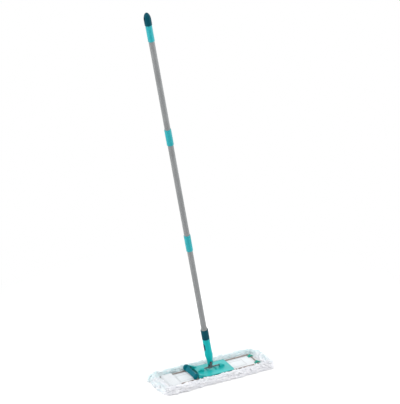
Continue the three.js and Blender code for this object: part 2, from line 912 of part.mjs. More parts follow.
function stadium(length, width) {
  const run = (length - width) / 2;
  const shape = new THREE.Shape();
  shape.absarc(0, run, width / 2, 0, Math.PI);
  shape.absarc(0, -run, width / 2, Math.PI, Math.PI * 2);
  return shape;
}

// A stadium-shaped prism along X at the button's height
function buttonPrism(length, width, x0, x1) {
  return lengthways(stadium(length, width), x0, x1).translate([0, 0, buttonHeight]);
}

function buttonWindow() {
  return buttonPrism(buttonLength + gap * 2, buttonWidth + gap * 2, -neckRadius - overrun, 0);
}

function neckSocket() {
  const bore = spigotRadius + gap;
  const body = turned([
    [0, neckFoot],
    [neckFootRadius, neckFoot],
    [neckWaistRadius, neckWaist],
    [neckBellyRadius, neckBelly],
    [neckRadius, neckShoulder],
    [neckRadius, neckTop - neckBevel],
    [neckRadius - neckBevel, neckTop],
    [bore, neckTop],
    [bore, neckFloor],
    [0, neckFloor],
  ]);
  const outline = new THREE.Shape();
  outline.moveTo(tongueRadius, neckFoot + overrun);
  outline.lineTo(-tongueRadius, neckFoot + overrun);
  outline.absarc(0, 0, tongueRadius, Math.PI, Math.PI * 2);
  const tongue = sideways(outline, -tongueThickness / 2, tongueThickness / 2);
  const pinBore = bar('y', yokePinRadius + gap, -tongueThickness, tongueThickness,
    new THREE.Vector3());
  return body.add(tongue).subtract(pinBore).subtract(buttonWindow());
}

// Snap-in spigot below, and above it the ring in which the tube sits
function clickAdapter() {
  const shelf = neckTop + gap;
  const top = neckTop + ringLength;
  const tubeSeat = tubeRadius + gap;
  const body = turned([
    [spigotBore, neckFloor + gap],
    [spigotRadius - neckBevel, neckFloor + gap],
    [spigotRadius, neckFloor + gap + neckBevel],
    [spigotRadius, shelf],
    [ringRadius - neckBevel, shelf],
    [ringRadius, shelf + neckBevel],
    [ringRadius, top - neckBevel],
    [ringRadius - neckBevel, top],
    [tubeSeat, top],
    [tubeSeat, shelf + ringShelf],
    [spigotBore, shelf + ringShelf],
    [spigotBore, neckFloor + gap],
  ]);
  return body.subtract(buttonWindow());
}

function tubeCollar() {
  const from = neckTop + ringLength + gap;
  const profile = tubeProfile(tubeRadius + gap, collarRadius, from, from + collarLength, collarBevel);
  return turned(profile);
}

// Place of the button's inner flange, just clear of the spigot's bore
function flangeFace() {
  const half = flangeWidth / 2;
  const bore = spigotBore - gap;
  return -Math.sqrt(bore * bore - half * half);
}

// Button whose face follows the neck, with a flange inside the spigot that keeps it in
function releaseButton() {
  const outer = neckRadius + buttonProud;
  const round = bar('z', outer, neckFloor, neckTop, new THREE.Vector3(), turnedSides);
  const inner = flangeFace() + flangeThickness;
  const plug = buttonPrism(buttonLength, buttonWidth, -outer - overrun, inner).intersect(round);
  return plug.add(buttonPrism(flangeLength, flangeWidth, flangeFace(), inner));
}

// Hairpin of spring strip between the button's back and the far wall of the spigot
function buttonSpring() {
  const half = springWidth / 2;
  const near = flangeFace() + flangeThickness + gap;
  const far = Math.sqrt(spigotBore * spigotBore - half * half) - gap;
  const middle = (near + far) / 2;
  const top = buttonHeight + springLength / 2;
  const low = buttonHeight - springLength / 2;
  const bend = low - springBend;
  const shape = new THREE.Shape();
  shape.moveTo(near, top);
  shape.lineTo(near, low);
  shape.quadraticCurveTo(near, bend, middle, bend);
  shape.quadraticCurveTo(far, bend, far, low);
  shape.lineTo(far, top);
  shape.lineTo(far - springStrip, top);
  shape.lineTo(far - springStrip, low);
  shape.quadraticCurveTo(far - springStrip, bend + springStrip, middle, bend + springStrip);
  shape.quadraticCurveTo(near + springStrip, bend + springStrip, near + springStrip, low);
  shape.lineTo(near + springStrip, top);
  return sideways(shape, -half, half);
}

// Tubes and couplings

function handleTube(from, to) {
  return turned(tubeProfile(tubeRadius - tubeWall, tubeRadius, from, to, 0));
}

// Sleeve fixed to the tube above; the tube below plugs in up to the stop
function coupling(from, length) {
  const stop = from + length * couplingSeatShare;
  const fixed = tubeRadius + gap;
  const sliding = tubeRadius + slideClearance;
  const to = from + length;
  const groove = to - couplingLip;
  return turned([
    [sliding, from],
    [couplingRadius - couplingBevel, from],
    [couplingRadius, from + couplingBevel],
    [couplingRadius, groove],
    [couplingRadius - couplingGroove, groove + couplingGroove],
    [couplingRadius - couplingGroove, groove + couplingGrooveWidth],
    [couplingRadius, groove + couplingGrooveWidth + couplingGroove],
    [couplingRadius, to - couplingBevel],
    [couplingRadius - couplingBevel, to],
    [fixed, to],
    [fixed, stop + couplingStop],
    [tubeRadius - couplingStopWall, stop + couplingStop],
    [tubeRadius - couplingStopWall, stop],
    [sliding, stop],
    [sliding, from],
  ]);
}

function gripSleeve(from, to) {
  return turned(tubeProfile(tubeRadius + gap, gripRadius, from, to, gripBevel));
}

function endCap(from) {
  const to = from + capLength;
  const nose = to - capNose;
  const profile = [
    [0, from - capPlugLength],
    [tubeRadius - tubeWall - gap - capBevel, from - capPlugLength],
    [tubeRadius - tubeWall - gap, from - capPlugLength + capBevel],
    [tubeRadius - tubeWall - gap, from],
    [capRadius - capBevel, from],
    [capRadius, from + capBevel],
  ];
  for (let i = 0; i < capSteps; i += 1) {
    const angle = (Math.PI / 2) * (i / capSteps);
    profile.push([capRadius * Math.cos(angle), nose + capNose * Math.sin(angle)]);
  }
  profile.push([0, to]);
  const eye = lengthways(stadium(eyeLength, eyeWidth), -capRadius - overrun, capRadius + overrun);
  return turned(profile).subtract(eye.translate([0, 0, to - eyeDepth]));
}

// Pocket, studs and clips

// Cloth pocket over the left end of the frame: a sheet that rises over the wire
function pocketFlap() {
  const rest = clothHeight + gap;
  const rise = wireDiameter + gap;
  const x0 = wireReach + wireRadius + gap;
  const y0 = legY + wireRadius + gap;
  const x1 = x0 + pocketSlope;
  const y1 = y0 + pocketSlope;
  const half = clothSide - pocketInset;
  const far = clothEnd - pocketInset;
  const edge = wireReach - pocketCover;
  const xs = [edge, (edge + x0) / 2, x0, (x0 + x1) / 2, x1, far];
  const ys = [-half, -y1, -(y0 + y1) / 2, -y0, -y0 / 2, 0, y0 / 2, y0, (y0 + y1) / 2, y1, half];
  const smooth = (t) => THREE.MathUtils.smoothstep(t, 0, 1);
  const height = (x, y) => {
    const along = smooth((x1 - x) / pocketSlope);
    const across = smooth((y1 - Math.abs(y)) / pocketSlope);
    return rest + rise * Math.min(along, across);
  };
  // Each ring runs across the under face and back over the upper one
  const rings = xs.map((x) => {
    const under = ys.map((y) => new THREE.Vector3(-x, y, height(x, y)));
    const upper = under.map((p) => new THREE.Vector3(p.x, p.y, p.z + pocketThickness)).reverse();
    return [...under, ...upper];
  });
  return closedFrom(rings, (indices) => {
    const count = ys.length * 2;
    const end = (rings.length - 1) * count;
    for (let j = 0; j < ys.length - 1; j += 1) {
      const over = count - 1 - j;
      for (const [from, a, b] of [[0, j, j + 1], [end, j + 1, j]]) {
        const c = a === j ? over - 1 : over;
        const d = a === j ? over : over - 1;
        indices.push(from + a, from + c, from + b);
        indices.push(from + a, from + d, from + c);
      }
    }
  });
}

function pocketStud(side) {
  const z = clothHeight + gap + pocketThickness + gap;
  const stud = turned([
    [0, z],
    [studRadius, z],
    [studRadius, z + studHeight / 2],
    [studRadius / 2, z + studHeight],
    [0, z + studHeight],
  ], pinSides);
  const x = clothEnd - pocketInset - studInset;
  const y = clothSide - pocketInset - studSideInset;
  return stud.translate([-x, side * y, 0]);
}

// Clip that straddles the right end wire with a foot on each side
function coverClip(side) {
  const inner = wireRadius + gap;
  const outer = inner + clipWall;
  const foot = clothHeight + gap;
  const shape = new THREE.Shape();
  shape.moveTo(-outer - clipFoot, foot);
  shape.lineTo(-inner, foot);
  shape.lineTo(-inner, wireZ);
  shape.absarc(0, wireZ, inner, Math.PI, 0, true);
  shape.lineTo(inner, foot);
  shape.lineTo(outer + clipFoot, foot);
  shape.lineTo(outer + clipFoot, foot + clipFootThickness);
  shape.lineTo(outer, foot + clipFootThickness);
  shape.absarc(0, wireZ, outer, 0, Math.PI);
  shape.lineTo(-outer, foot + clipFootThickness);
  shape.lineTo(-outer - clipFoot, foot + clipFootThickness);
  const y = side * (legY - wireCornerRadius - clipClearance - clipWidth / 2);
  return sideways(shape, y - clipWidth / 2, y + clipWidth / 2).translate([wireReach, 0, 0]);
}

// Assembly

const mop = new THREE.Group();

// Centre plate with the rod, the pedal and the middle of the cover
const rodHalf = rodShown + rodSeat;
const rodLine = new THREE.Vector3(0, 0, jointZ);
addMesh(mop, 'centre_plate', centrePlate(), plateTurquoise);
addMesh(mop, 'axle_rod', bar('x', rodRadius, -rodHalf, rodHalf, rodLine), darkSteel);
addMesh(mop, 'pedal_bar', pedalBar(), petrol);
addMesh(mop, 'pedal_pin_front', pedalPin(-1), steel);
addMesh(mop, 'pedal_pin_back', pedalPin(1), steel);
addMesh(mop, 'pedal_spring', pedalSpring(), steel);
addMesh(mop, 'cover_middle', coverStretch(-middleHalf, middleHalf, 0), microfibre);
addMesh(mop, 'fold_strip_left', coverStretch(gap - wingStart, -middleHalf - gap, foldLift), microfibre);
addMesh(mop, 'fold_strip_right', coverStretch(middleHalf + gap, wingStart - gap, foldLift), microfibre);

// Wings of the wire frame, each with its part of the cover
addMesh(mop, 'wire_frame_left', wireFrame(-1), darkSteel);
addMesh(mop, 'cover_left', wingCover(-1), microfibre);
addMesh(mop, 'pocket_flap', pocketFlap(), microfibre);
addMesh(mop, 'pocket_stud_front', pocketStud(-1), darkSteel);
addMesh(mop, 'pocket_stud_back', pocketStud(1), darkSteel);
addMesh(mop, 'wire_frame_right', wireFrame(1), darkSteel);
addMesh(mop, 'cover_right', wingCover(1), microfibre);
addMesh(mop, 'cover_clip_front', coverClip(-1), clipGreen);
addMesh(mop, 'cover_clip_back', coverClip(1), clipGreen);

// Yoke, which tilts on the rod
const yoke = new THREE.Group();
yoke.position.set(-yokeOffset, 0, jointZ);
mop.add(yoke);
addMesh(yoke, 'joint_yoke', jointYoke(), steel);
addMesh(yoke, 'yoke_pin', yokePin(), steel);
addMesh(yoke, 'yoke_washer_front', yokeWasher(-1), steel);
addMesh(yoke, 'yoke_washer_back', yokeWasher(1), steel);

// Handle, built upright from the yoke's pin and leant over as one group
const handle = new THREE.Group();
handle.position.set(0, 0, yokePinHeight);
handle.rotation.y = -lean;
yoke.add(handle);

const lowerTubeFrom = neckTop + gap + ringShelf + gap;
const lowerCouplingFrom = neckTop + ringLength + gap + collarLength + lowerTubeShown;
const middleSeat = lowerCouplingFrom + lowerCouplingLength * couplingSeatShare;
const upperCouplingFrom = lowerCouplingFrom + lowerCouplingLength + middleTubeShown;
const upperSeat = upperCouplingFrom + upperCouplingLength * couplingSeatShare;
const gripFrom = upperCouplingFrom + upperCouplingLength + upperTubeShown;
const capFrom = gripFrom + gripLength;

addMesh(handle, 'neck_socket', neckSocket(), turquoise);
addMesh(handle, 'release_button', releaseButton(), petrol);
addMesh(handle, 'button_spring', buttonSpring(), steel);
addMesh(handle, 'click_adapter', clickAdapter(), petrol);
addMesh(handle, 'tube_collar', tubeCollar(), lightGrey);
addMesh(handle, 'lower_tube', handleTube(lowerTubeFrom, middleSeat - gap), tubeGrey);
addMesh(handle, 'lower_coupling', coupling(lowerCouplingFrom, lowerCouplingLength), turquoise);
addMesh(handle, 'middle_tube', handleTube(middleSeat + couplingStop + gap, upperSeat - gap), tubeGrey);
addMesh(handle, 'upper_coupling', coupling(upperCouplingFrom, upperCouplingLength), turquoise);
addMesh(handle, 'upper_tube', handleTube(upperSeat + couplingStop + gap, capFrom - gap), tubeGrey);
addMesh(handle, 'grip_sleeve', gripSleeve(gripFrom, capFrom - gap), turquoise);
addMesh(handle, 'end_cap', endCap(capFrom), petrol);

export default mop;
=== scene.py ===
"""The flat mop's looks: pile, cloth, plastics, steel, the floor, the lights and the camera."""

import json
from math import cos, pi, radians, sin

import bpy
import numpy as np
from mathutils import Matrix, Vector


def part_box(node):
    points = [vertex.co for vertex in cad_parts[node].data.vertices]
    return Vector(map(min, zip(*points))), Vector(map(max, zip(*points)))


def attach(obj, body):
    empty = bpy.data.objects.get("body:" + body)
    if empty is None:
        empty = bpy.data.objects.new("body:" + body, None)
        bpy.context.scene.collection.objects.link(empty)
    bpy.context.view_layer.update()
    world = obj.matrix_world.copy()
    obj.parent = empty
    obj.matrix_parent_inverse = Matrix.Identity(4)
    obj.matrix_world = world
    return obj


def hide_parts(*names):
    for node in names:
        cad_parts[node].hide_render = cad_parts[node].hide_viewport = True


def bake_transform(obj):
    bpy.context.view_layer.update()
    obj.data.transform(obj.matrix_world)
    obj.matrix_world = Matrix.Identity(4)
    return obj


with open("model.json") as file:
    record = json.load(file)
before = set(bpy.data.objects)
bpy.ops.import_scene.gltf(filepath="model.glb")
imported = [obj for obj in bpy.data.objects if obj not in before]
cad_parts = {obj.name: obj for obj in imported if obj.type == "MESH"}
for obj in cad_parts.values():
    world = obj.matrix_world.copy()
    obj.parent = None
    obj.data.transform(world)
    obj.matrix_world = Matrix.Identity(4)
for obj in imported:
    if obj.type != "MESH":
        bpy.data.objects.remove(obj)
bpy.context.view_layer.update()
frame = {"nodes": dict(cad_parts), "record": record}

rng = np.random.default_rng(7)

# Materials


def srgb(r, g, b):
    """A colour as it shows, 0 to 255, in the renderer's linear values."""
    return tuple(
        c / 12.92 if c <= 0.04045 else ((c + 0.055) / 1.055) ** 2.4
        for c in (r / 255, g / 255, b / 255)
    )


def shade(colour, share):
    """A darker tone of a colour, as a socket takes it."""
    return (*(share * c for c in srgb(*colour)), 1)


class Shader:
    """A node material, built from a Principled shader with small helpers."""

    def __init__(self, name, **constants):
        self.material = bpy.data.materials.new(name)
        self.material.use_nodes = True
        self.tree = self.material.node_tree
        self.shader = self.tree.nodes["Principled BSDF"]
        for socket, value in constants.items():
            self.shader.inputs[socket.replace("_", " ")].default_value = value
        self.place = self.node("ShaderNodeTexCoord").outputs["Object"]

    def node(self, kind, **settings):
        made = self.tree.nodes.new(kind)
        for key, value in settings.items():
            setattr(made, key, value)
        return made

    def put(self, value, socket):
        """Feed a socket from another socket, or set it to a constant."""
        if isinstance(value, bpy.types.NodeSocket):
            self.tree.links.new(value, socket)
        else:
            socket.default_value = value

    def axes(self):
        split = self.node("ShaderNodeSeparateXYZ")
        self.put(self.place, split.inputs[0])
        return split.outputs

    def stretched(self, scale):
        mapping = self.node("ShaderNodeMapping")
        self.put(scale, mapping.inputs["Scale"])
        self.put(self.place, mapping.inputs["Vector"])
        return mapping.outputs["Vector"]

    def noise(self, scale, detail, vector=None):
        made = self.node("ShaderNodeTexNoise")
        self.put(scale, made.inputs["Scale"])
        self.put(detail, made.inputs["Detail"])
        self.put(vector or self.place, made.inputs["Vector"])
        return made.outputs["Fac"]

    def ramp(self, value, dark, light, low=0.3, high=0.7):
        made = self.node("ShaderNodeValToRGB")
        for element, place, colour in zip(made.color_ramp.elements, (low, high), (dark, light)):
            element.position = place
            element.color = (*srgb(*colour), 1)
        self.put(value, made.inputs["Fac"])
        return made.outputs["Color"]

    def spread(self, value, low, high, to_low, to_high):
        made = self.node("ShaderNodeMapRange")
        for index, amount in enumerate((value, low, high, to_low, to_high)):
            self.put(amount, made.inputs[index])
        return made.outputs[0]

    def maths(self, operation, a, b=0.0):
        made = self.node("ShaderNodeMath", operation=operation)
        self.put(a, made.inputs[0])
        self.put(b, made.inputs[1])
        return made.outputs[0]

    def wave(self, value, pitch):
        return self.maths("SINE", self.maths("MULTIPLY", value, 2 * pi / pitch))

    def mix(self, amount, a, b):
        made = self.node("ShaderNodeMix", data_type="RGBA")
        self.put(amount, made.inputs["Factor"])
        self.put(a, made.inputs[6])
        self.put(b, made.inputs[7])
        return made.outputs[2]

    def colour(self, value):
        self.put(value, self.shader.inputs["Base Color"])

    def roughness(self, value):
        self.put(value, self.shader.inputs["Roughness"])

    def bump(self, height, distance, strength):
        made = self.node("ShaderNodeBump")
        self.put(strength, made.inputs["Strength"])
        self.put(distance, made.inputs["Distance"])
        self.put(height, made.inputs["Height"])
        normal = self.shader.inputs["Normal"]
        if normal.is_linked:
            self.put(normal.links[0].from_socket, made.inputs["Normal"])
        self.put(made.outputs["Normal"], normal)


def plastic(name, dark, light, roughness, gloss=0.2, painted_shade=None):
    """Moulded plastic: slight colour drift, a fine satin grain, and, when asked, painted shade low on
    its walls.
    """
    m = Shader(name, Metallic=0.0, Specular_IOR_Level=gloss)
    fine = m.noise(60.0, 4.0)
    colour = m.ramp(m.noise(9.0, 2.0), dark, light)
    if painted_shade:
        # Painted shade: the wall is darkened below these heights, where the pile shades it
        dark_to, unshaded_from = painted_shade
        low = m.spread(m.axes()["Z"], dark_to, unshaded_from, 0.8, 0.0)
        colour = m.mix(low, colour, shade(dark, 0.2))
    m.colour(colour)
    m.roughness(m.spread(fine, 0.3, 0.7, roughness - 0.05, roughness + 0.08))
    m.bump(m.noise(1400.0, 2.0), 0.0001, 0.25)
    m.bump(fine, 0.0003, 0.12)
    return m.material


def steel(name, dark, light, roughness):
    """Drawn steel: long faint lines along X and Z and small dull spots."""
    m = Shader(name, Metallic=0.85)
    lines = m.noise(900.0, 2.0, m.stretched((0.05, 1, 1)))
    spots = m.noise(120.0, 4.0)
    m.colour(m.ramp(spots, dark, light, low=0.35))
    m.roughness(m.spread(spots, 0.3, 0.7, roughness - 0.06, roughness + 0.12))
    m.bump(lines, 0.0001, 0.3)
    return m.material


def tube_metal(dot_pitch=0.006):
    """Silver-grey coated tube with a fine slanted dot pattern pressed in its coat."""
    m = Shader("handle_tube_coat", Metallic=0.2, Specular_IOR_Level=0.4)
    m.colour(m.ramp(m.noise(14.0, 3.0), (127, 129, 130), (139, 141, 142)))
    m.roughness(m.spread(m.noise(2200.0, 1.0), 0.3, 0.7, 0.36, 0.48))
    axes = m.axes()
    one = m.wave(m.maths("ADD", axes["Z"], axes["Y"]), dot_pitch)
    two = m.wave(m.maths("SUBTRACT", axes["Z"], axes["Y"]), dot_pitch)
    dots = m.maths("MULTIPLY", one, two)
    m.bump(m.spread(dots, 0.2, 0.6, 0.0, 1.0), 0.0002, 0.5)
    return m.material


def pile_yarn(depth=0.002):
    """White microfibre yarn, a cool white drifting at random between clumps, with painted cyan-tinted
    shade at the back and left.
    """
    m = Shader(
        "pile_yarn",
        Roughness=0.95,
        Sheen_Weight=0.5,
        Sheen_Roughness=0.4,
        Subsurface_Weight=0.15,
        Subsurface_Radius=(depth, depth, depth),
        Subsurface_Scale=1.0,
    )
    clump = m.noise(70.0, 3.0)
    white = m.ramp(clump, (236, 237, 242), (245, 245, 248))
    # Painted shade: this cyan ramp stands for the cool shade at the back and the ends
    cyan = m.ramp(clump, (203, 230, 233), (228, 240, 242))
    cyan_shade = m.node("ShaderNodeAttribute", attribute_name="cyan_shade")
    m.colour(m.mix(cyan_shade.outputs["Fac"], white, cyan))
    m.bump(m.noise(900.0, 3.0), 0.0004, 0.6)
    return m.material


def stitched(m, axes, colour, thread, half_length, half_width, stitch=0.004):
    """A sewn rectangle: dashes of darker thread in a shallow groove."""
    x = m.maths("ABSOLUTE", axes["X"])
    y = m.maths("ABSOLUTE", axes["Y"])
    off_x = m.maths("SUBTRACT", x, half_length)
    off_y = m.maths("SUBTRACT", y, half_width)
    off = m.maths("ABSOLUTE", m.maths("MAXIMUM", off_x, off_y))
    groove = m.spread(off, 0.0007, 0.0018, 1.0, 0.0)
    dashes = m.spread(m.wave(m.maths("ADD", x, y), stitch), -0.5, 0.3, 0.35, 1.0)
    m.bump(m.maths("SUBTRACT", 1.0, groove), 0.0006, 0.6)
    return m.mix(m.maths("MULTIPLY", groove, dashes), colour, thread)


def woven_cloth(name, dark, light, pitch, seam=None):
    """White plain weave with soft creases; a seam is a sewn rectangle's half length and width."""
    m = Shader(name, Roughness=0.9, Sheen_Weight=0.2, Sheen_Roughness=0.5)
    axes = m.axes()
    colour = m.ramp(m.noise(18.0, 4.0), dark, light)
    if seam:
        colour = stitched(m, axes, colour, shade(dark, 0.62), *seam)
    m.colour(colour)
    m.bump(m.maths("MULTIPLY", m.wave(axes["X"], pitch), m.wave(axes["Y"], pitch)), 0.0002, 0.35)
    m.bump(m.noise(24.0, 3.0, m.stretched((0.4, 1, 1))), 0.003, 0.35)
    return m.material


# The plate's wall is darkened with painted shade up to the first height, where the pile touches it,
# and is free of it from the second
PLATE_PAINTED_SHADE = (0.0135, 0.0158)
# The sewn rectangle's half length and half width
SEAM = (0.136, 0.02)

plate_plastic = plastic("plate_plastic_satin", (14, 168, 167), (28, 178, 176), 0.42, 0.5, PLATE_PAINTED_SHADE)
pedal_petrol = plastic("pedal_petrol_satin", (0, 100, 113), (2, 110, 124), 0.4, 0.1)
turquoise = plastic("turquoise_satin", (2, 150, 159), (12, 160, 169), 0.42, 0.5)
neck_turquoise = plastic("neck_turquoise_satin", (4, 166, 168), (14, 174, 176), 0.4, 0.15)
petrol = plastic("petrol_satin", (0, 66, 80), (2, 77, 91), 0.38, 0.08)
light_grey = plastic("light_grey_satin", (136, 137, 136), (144, 145, 144), 0.45)
clip_green = plastic("clip_green_satin", (24, 150, 132), (40, 162, 144), 0.42)
joint_steel = steel("joint_steel_plated", (92, 90, 92), (122, 120, 122), 0.38)
wire_steel = steel("wire_steel_dark", (136, 126, 121), (164, 154, 148), 0.4)
yarn = pile_yarn()
cloth = woven_cloth("inner_cloth_weave", (219, 224, 227), (229, 233, 236), 0.0012, SEAM)
pocket_weave = woven_cloth("pocket_cloth_weave", (208, 212, 215), (219, 222, 225), 0.001)

LOOKS = {
    "plate_plastic": plate_plastic,
    "turquoise_plastic": turquoise,
    "petrol_plastic": petrol,
    "grey_plastic": light_grey,
    "clip_plastic": clip_green,
    "joint_steel": joint_steel,
    "frame_wire": wire_steel,
    "handle_tube": tube_metal(),
    "microfibre": yarn,
    "pocket_cloth": pocket_weave,
}
OWN_LOOKS = {"neck_socket": neck_turquoise, "pedal_bar": pedal_petrol}
SLOTS = {part["node"]: part["material_slot"] for part in frame["record"]["subparts"]}

# The CAD solids get their looks, keep their sharp edges and get smooth round walls
SHARP_EDGE = radians(28)

for name, node in frame["nodes"].items():
    node.data.materials.clear()
    node.data.materials.append(OWN_LOOKS.get(name, LOOKS[SLOTS[name]]))
    node.data.shade_smooth()
    node.modifiers.new("edges", "EDGE_SPLIT").split_angle = SHARP_EDGE

# The cover's measures, in metres: the pad lies below the pile
HALF_LENGTH = 0.225
HALF_WIDTH = 0.0765
CORNER = 0.026
CLOTH_END = 0.194
CLOTH_SIDE = 0.05
INNER_CORNER = 0.003
BORDER_TOP = 0.021
PAD_TOP = 0.0088
PAD_SOLE = 0.0034
WIRE_SIDE = 0.038
WIRE_END = 0.176

# The border's section from the sole, round the rim, to the cloth: depth inwards and height
SECTION_DEPTHS = [0.12, 0.02, 0, 0.05, 0.19, 0.42, 0.68, 0.9, 1]
SECTION_HEIGHTS = [0, 0.16, 0.4, 0.68, 0.91, 1, 0.9, 0.66, 0.42]
SECTION_ROWS = 22
STATION_SPACING = 0.004

# The pile
PILE_LINES = 15
PILE_COLUMNS_A_STATION = 4 / 3.7
TUFT = 3
ROOT_SINK = 0.0016
STRAND_LENGTHS = (0.0068, 0.0092)
STRAND_RADII = (0.0014, 0.0019)
FRINGE_SPACING = 0.0098
FRINGE_SIDE = 0.0535
FRINGE_FOOT = 0.0118
FRINGE_STRANDS = 6
SOLE_SPACING = 0.0062
SOLE_LENGTHS = (0.003, 0.0038)
SOLE_RADII = (0.0013, 0.0016)

LATTICE = rng.random((48, 48, 48))


def noise_at(points, scale, seed=0.0):
    """Smooth seeded noise from 0 to 1 at points in metres."""
    q = np.asarray(points) * scale + seed * 7.31
    cell = np.floor(q).astype(int)
    f = q - cell
    f = f * f * (3 - 2 * f)
    total = np.zeros(q.shape[:-1])
    for corner in np.ndindex(2, 2, 2):
        index = (cell + corner) % len(LATTICE)
        weight = np.prod(np.where(corner, f, 1 - f), axis=-1)
        total += weight * LATTICE[index[..., 0], index[..., 1], index[..., 2]]
    return total


def smoothstep(low, high, value):
    t = np.clip((value - low) / (high - low), 0, 1)
    return t * t * (3 - 2 * t)


def unit(vectors):
    return vectors / np.maximum(np.linalg.norm(vectors, axis=-1, keepdims=True), 1e-12)


def outline(side):
    """Rim point, inner point and outward direction round one half, from back to front."""
    straight = HALF_LENGTH - CORNER
    flat = HALF_WIDTH - CORNER
    arc = CORNER * pi / 2
    inner_x = CLOTH_END - INNER_CORNER
    inner_y = CLOTH_SIDE - INNER_CORNER
    half = straight + arc + flat
    rims, inners, outs = [], [], []
    for run in np.linspace(0, 2 * half, 2 * round(half / STATION_SPACING) + 1):
        s = min(run, 2 * half - run)
        flip = 1 if run <= half else -1
        if s <= straight:
            rim, inner, out = (s, HALF_WIDTH), (inner_x * s / straight, CLOTH_SIDE), (0, 1)
        elif s <= straight + arc:
            turn = pi / 2 - (s - straight) / CORNER
            out = (cos(turn), sin(turn))
            rim = (straight + CORNER * out[0], flat + CORNER * out[1])
            inner = (inner_x + INNER_CORNER * out[0], inner_y + INNER_CORNER * out[1])
        else:
            y = half - s
            rim, inner, out = (HALF_LENGTH, y), (CLOTH_END, inner_y * y / flat), (1, 0)
        for kept, (x, y) in ((rims, rim), (inners, inner)):
            kept.append((side * max(x, 0.0001), flip * y, 0))
        outs.append((side * out[0], flip * out[1], 0))
    return np.array(rims), np.array(inners), np.array(outs)


def border_grid(side):
    """The border's skin under the pile: points[station, row], from the sole to the cloth."""
    rims, inners, outs = outline(side)
    at = np.linspace(0, 1, SECTION_ROWS)
    knots = np.linspace(0, 1, len(SECTION_DEPTHS))
    depth = np.interp(at, knots, SECTION_DEPTHS)
    rise = np.interp(at, knots, SECTION_HEIGHTS)
    for _ in range(2):
        depth[1:-1] = (depth[:-2] + 2 * depth[1:-1] + depth[2:]) / 4
        rise[1:-1] = (rise[:-2] + 2 * rise[1:-1] + rise[2:]) / 4
    points = rims[:, None] + (inners - rims)[:, None] * depth[None, :, None]
    height = PAD_SOLE + (BORDER_TOP - 0.0025 - PAD_SOLE) * rise
    height = np.where(at > 0.85, np.maximum(height * (1 - smoothstep(0.93, 1, at)), PAD_TOP), height)
    points[:, :, 2] = height[None, :]

    # The skin lies below the pile's tips, lower in some places than in others
    lumps = noise_at(points, 75, 1) * 0.65 + noise_at(points, 150, 2) * 0.35
    inwards = 0.0042 + 0.0032 * (1 - lumps)
    weight = np.clip(rise, 0, 1) * (1 - smoothstep(0.8, 1, at))
    points -= outs[:, None] * (inwards * weight[None, :] * (1 - depth[None, :]))[:, :, None]
    points[:, :, 2] -= (0.0022 + 0.003 * (1 - lumps)) * weight[None, :]
    points[:, :, 2] = np.maximum(points[:, :, 2], PAD_SOLE * (1 - rise)[None, :] ** 3)
    return points


def skin_faces(stations, rows, side):
    """The skin's faces, with its sole, its top under the cloth and its end at the middle."""
    faces = []
    for s in range(stations - 1):
        for r in range(rows - 1):
            quad = [s * rows + r, s * rows + r + 1, (s + 1) * rows + r + 1, (s + 1) * rows + r]
            faces.append(tuple(quad if side > 0 else reversed(quad)))
    middle = (stations - 1) // 2
    for row, upper in ((0, False), (rows - 1, True)):
        for s in range(middle):
            front = stations - 1 - s
            quad = [s * rows + row, front * rows + row, (front - 1) * rows + row]
            if s < middle - 1:
                quad.append((s + 1) * rows + row)
            faces.append(tuple(quad if upper == (side > 0) else reversed(quad)))
    end = list(range(rows)) + [(stations - 1) * rows + r for r in reversed(range(rows))]
    faces.append(tuple(end if side < 0 else reversed(end)))
    return faces


def strands(roots, middles, tips, radii, sides, rings):
    """Closed tapering strands, each bent over from its root by way of a middle to its tip."""
    count = len(roots)
    t = np.linspace(0, 1, rings)
    a, b, c = ((1 - t) ** 2, 2 * t * (1 - t), t**2)
    spine = (
        roots[:, None] * a[None, :, None]
        + middles[:, None] * b[None, :, None]
        + tips[:, None] * c[None, :, None]
    )
    along = unit(np.gradient(spine, axis=1))
    helper = unit(rng.normal(size=(count, 1, 3)) + 0 * along)
    u = unit(np.cross(along, helper))
    v = np.cross(along, u)
    girth = np.interp(t, [0, 0.3, 0.75, 1], [0.8, 1, 1, 0.62])
    angle = np.arange(sides) * 2 * pi / sides
    ring = (
        u[:, :, None] * np.cos(angle)[None, None, :, None]
        + v[:, :, None] * np.sin(angle)[None, None, :, None]
    )
    tubes = spine[:, :, None] + ring * (radii[:, None] * girth[None])[:, :, None, None]
    poles = tips + along[:, -1] * (radii * 0.55)[:, None]
    per = rings * sides + 1
    verts = np.concatenate([tubes.reshape(count, rings * sides, 3), poles[:, None]], axis=1)

    pattern = []
    for k in range(rings - 1):
        for s in range(sides):
            n = (s + 1) % sides
            pattern.append((k * sides + s, k * sides + n, (k + 1) * sides + n, (k + 1) * sides + s))
    last = (rings - 1) * sides
    pattern += [(last + s, last + (s + 1) % sides, per - 1) for s in range(sides)]
    pattern.append(tuple(reversed(range(sides))))
    faces = [
        tuple(base + i for i in face) for base in range(0, count * per, per) for face in pattern
    ]
    return verts.reshape(-1, 3), faces, per


def sampled(grid, at_s, at_r):
    """A grid's values at places between its stations and rows."""
    s0 = np.floor(at_s).astype(int)
    r0 = np.floor(at_r).astype(int)
    s1 = np.minimum(s0 + 1, grid.shape[0] - 1)
    r1 = np.minimum(r0 + 1, grid.shape[1] - 1)
    fs = (at_s - s0)[:, None]
    fr = (at_r - r0)[:, None]
    low = grid[s0, r0] * (1 - fs) + grid[s1, r0] * fs
    high = grid[s0, r1] * (1 - fs) + grid[s1, r1] * fs
    return low * (1 - fr) + high * fr


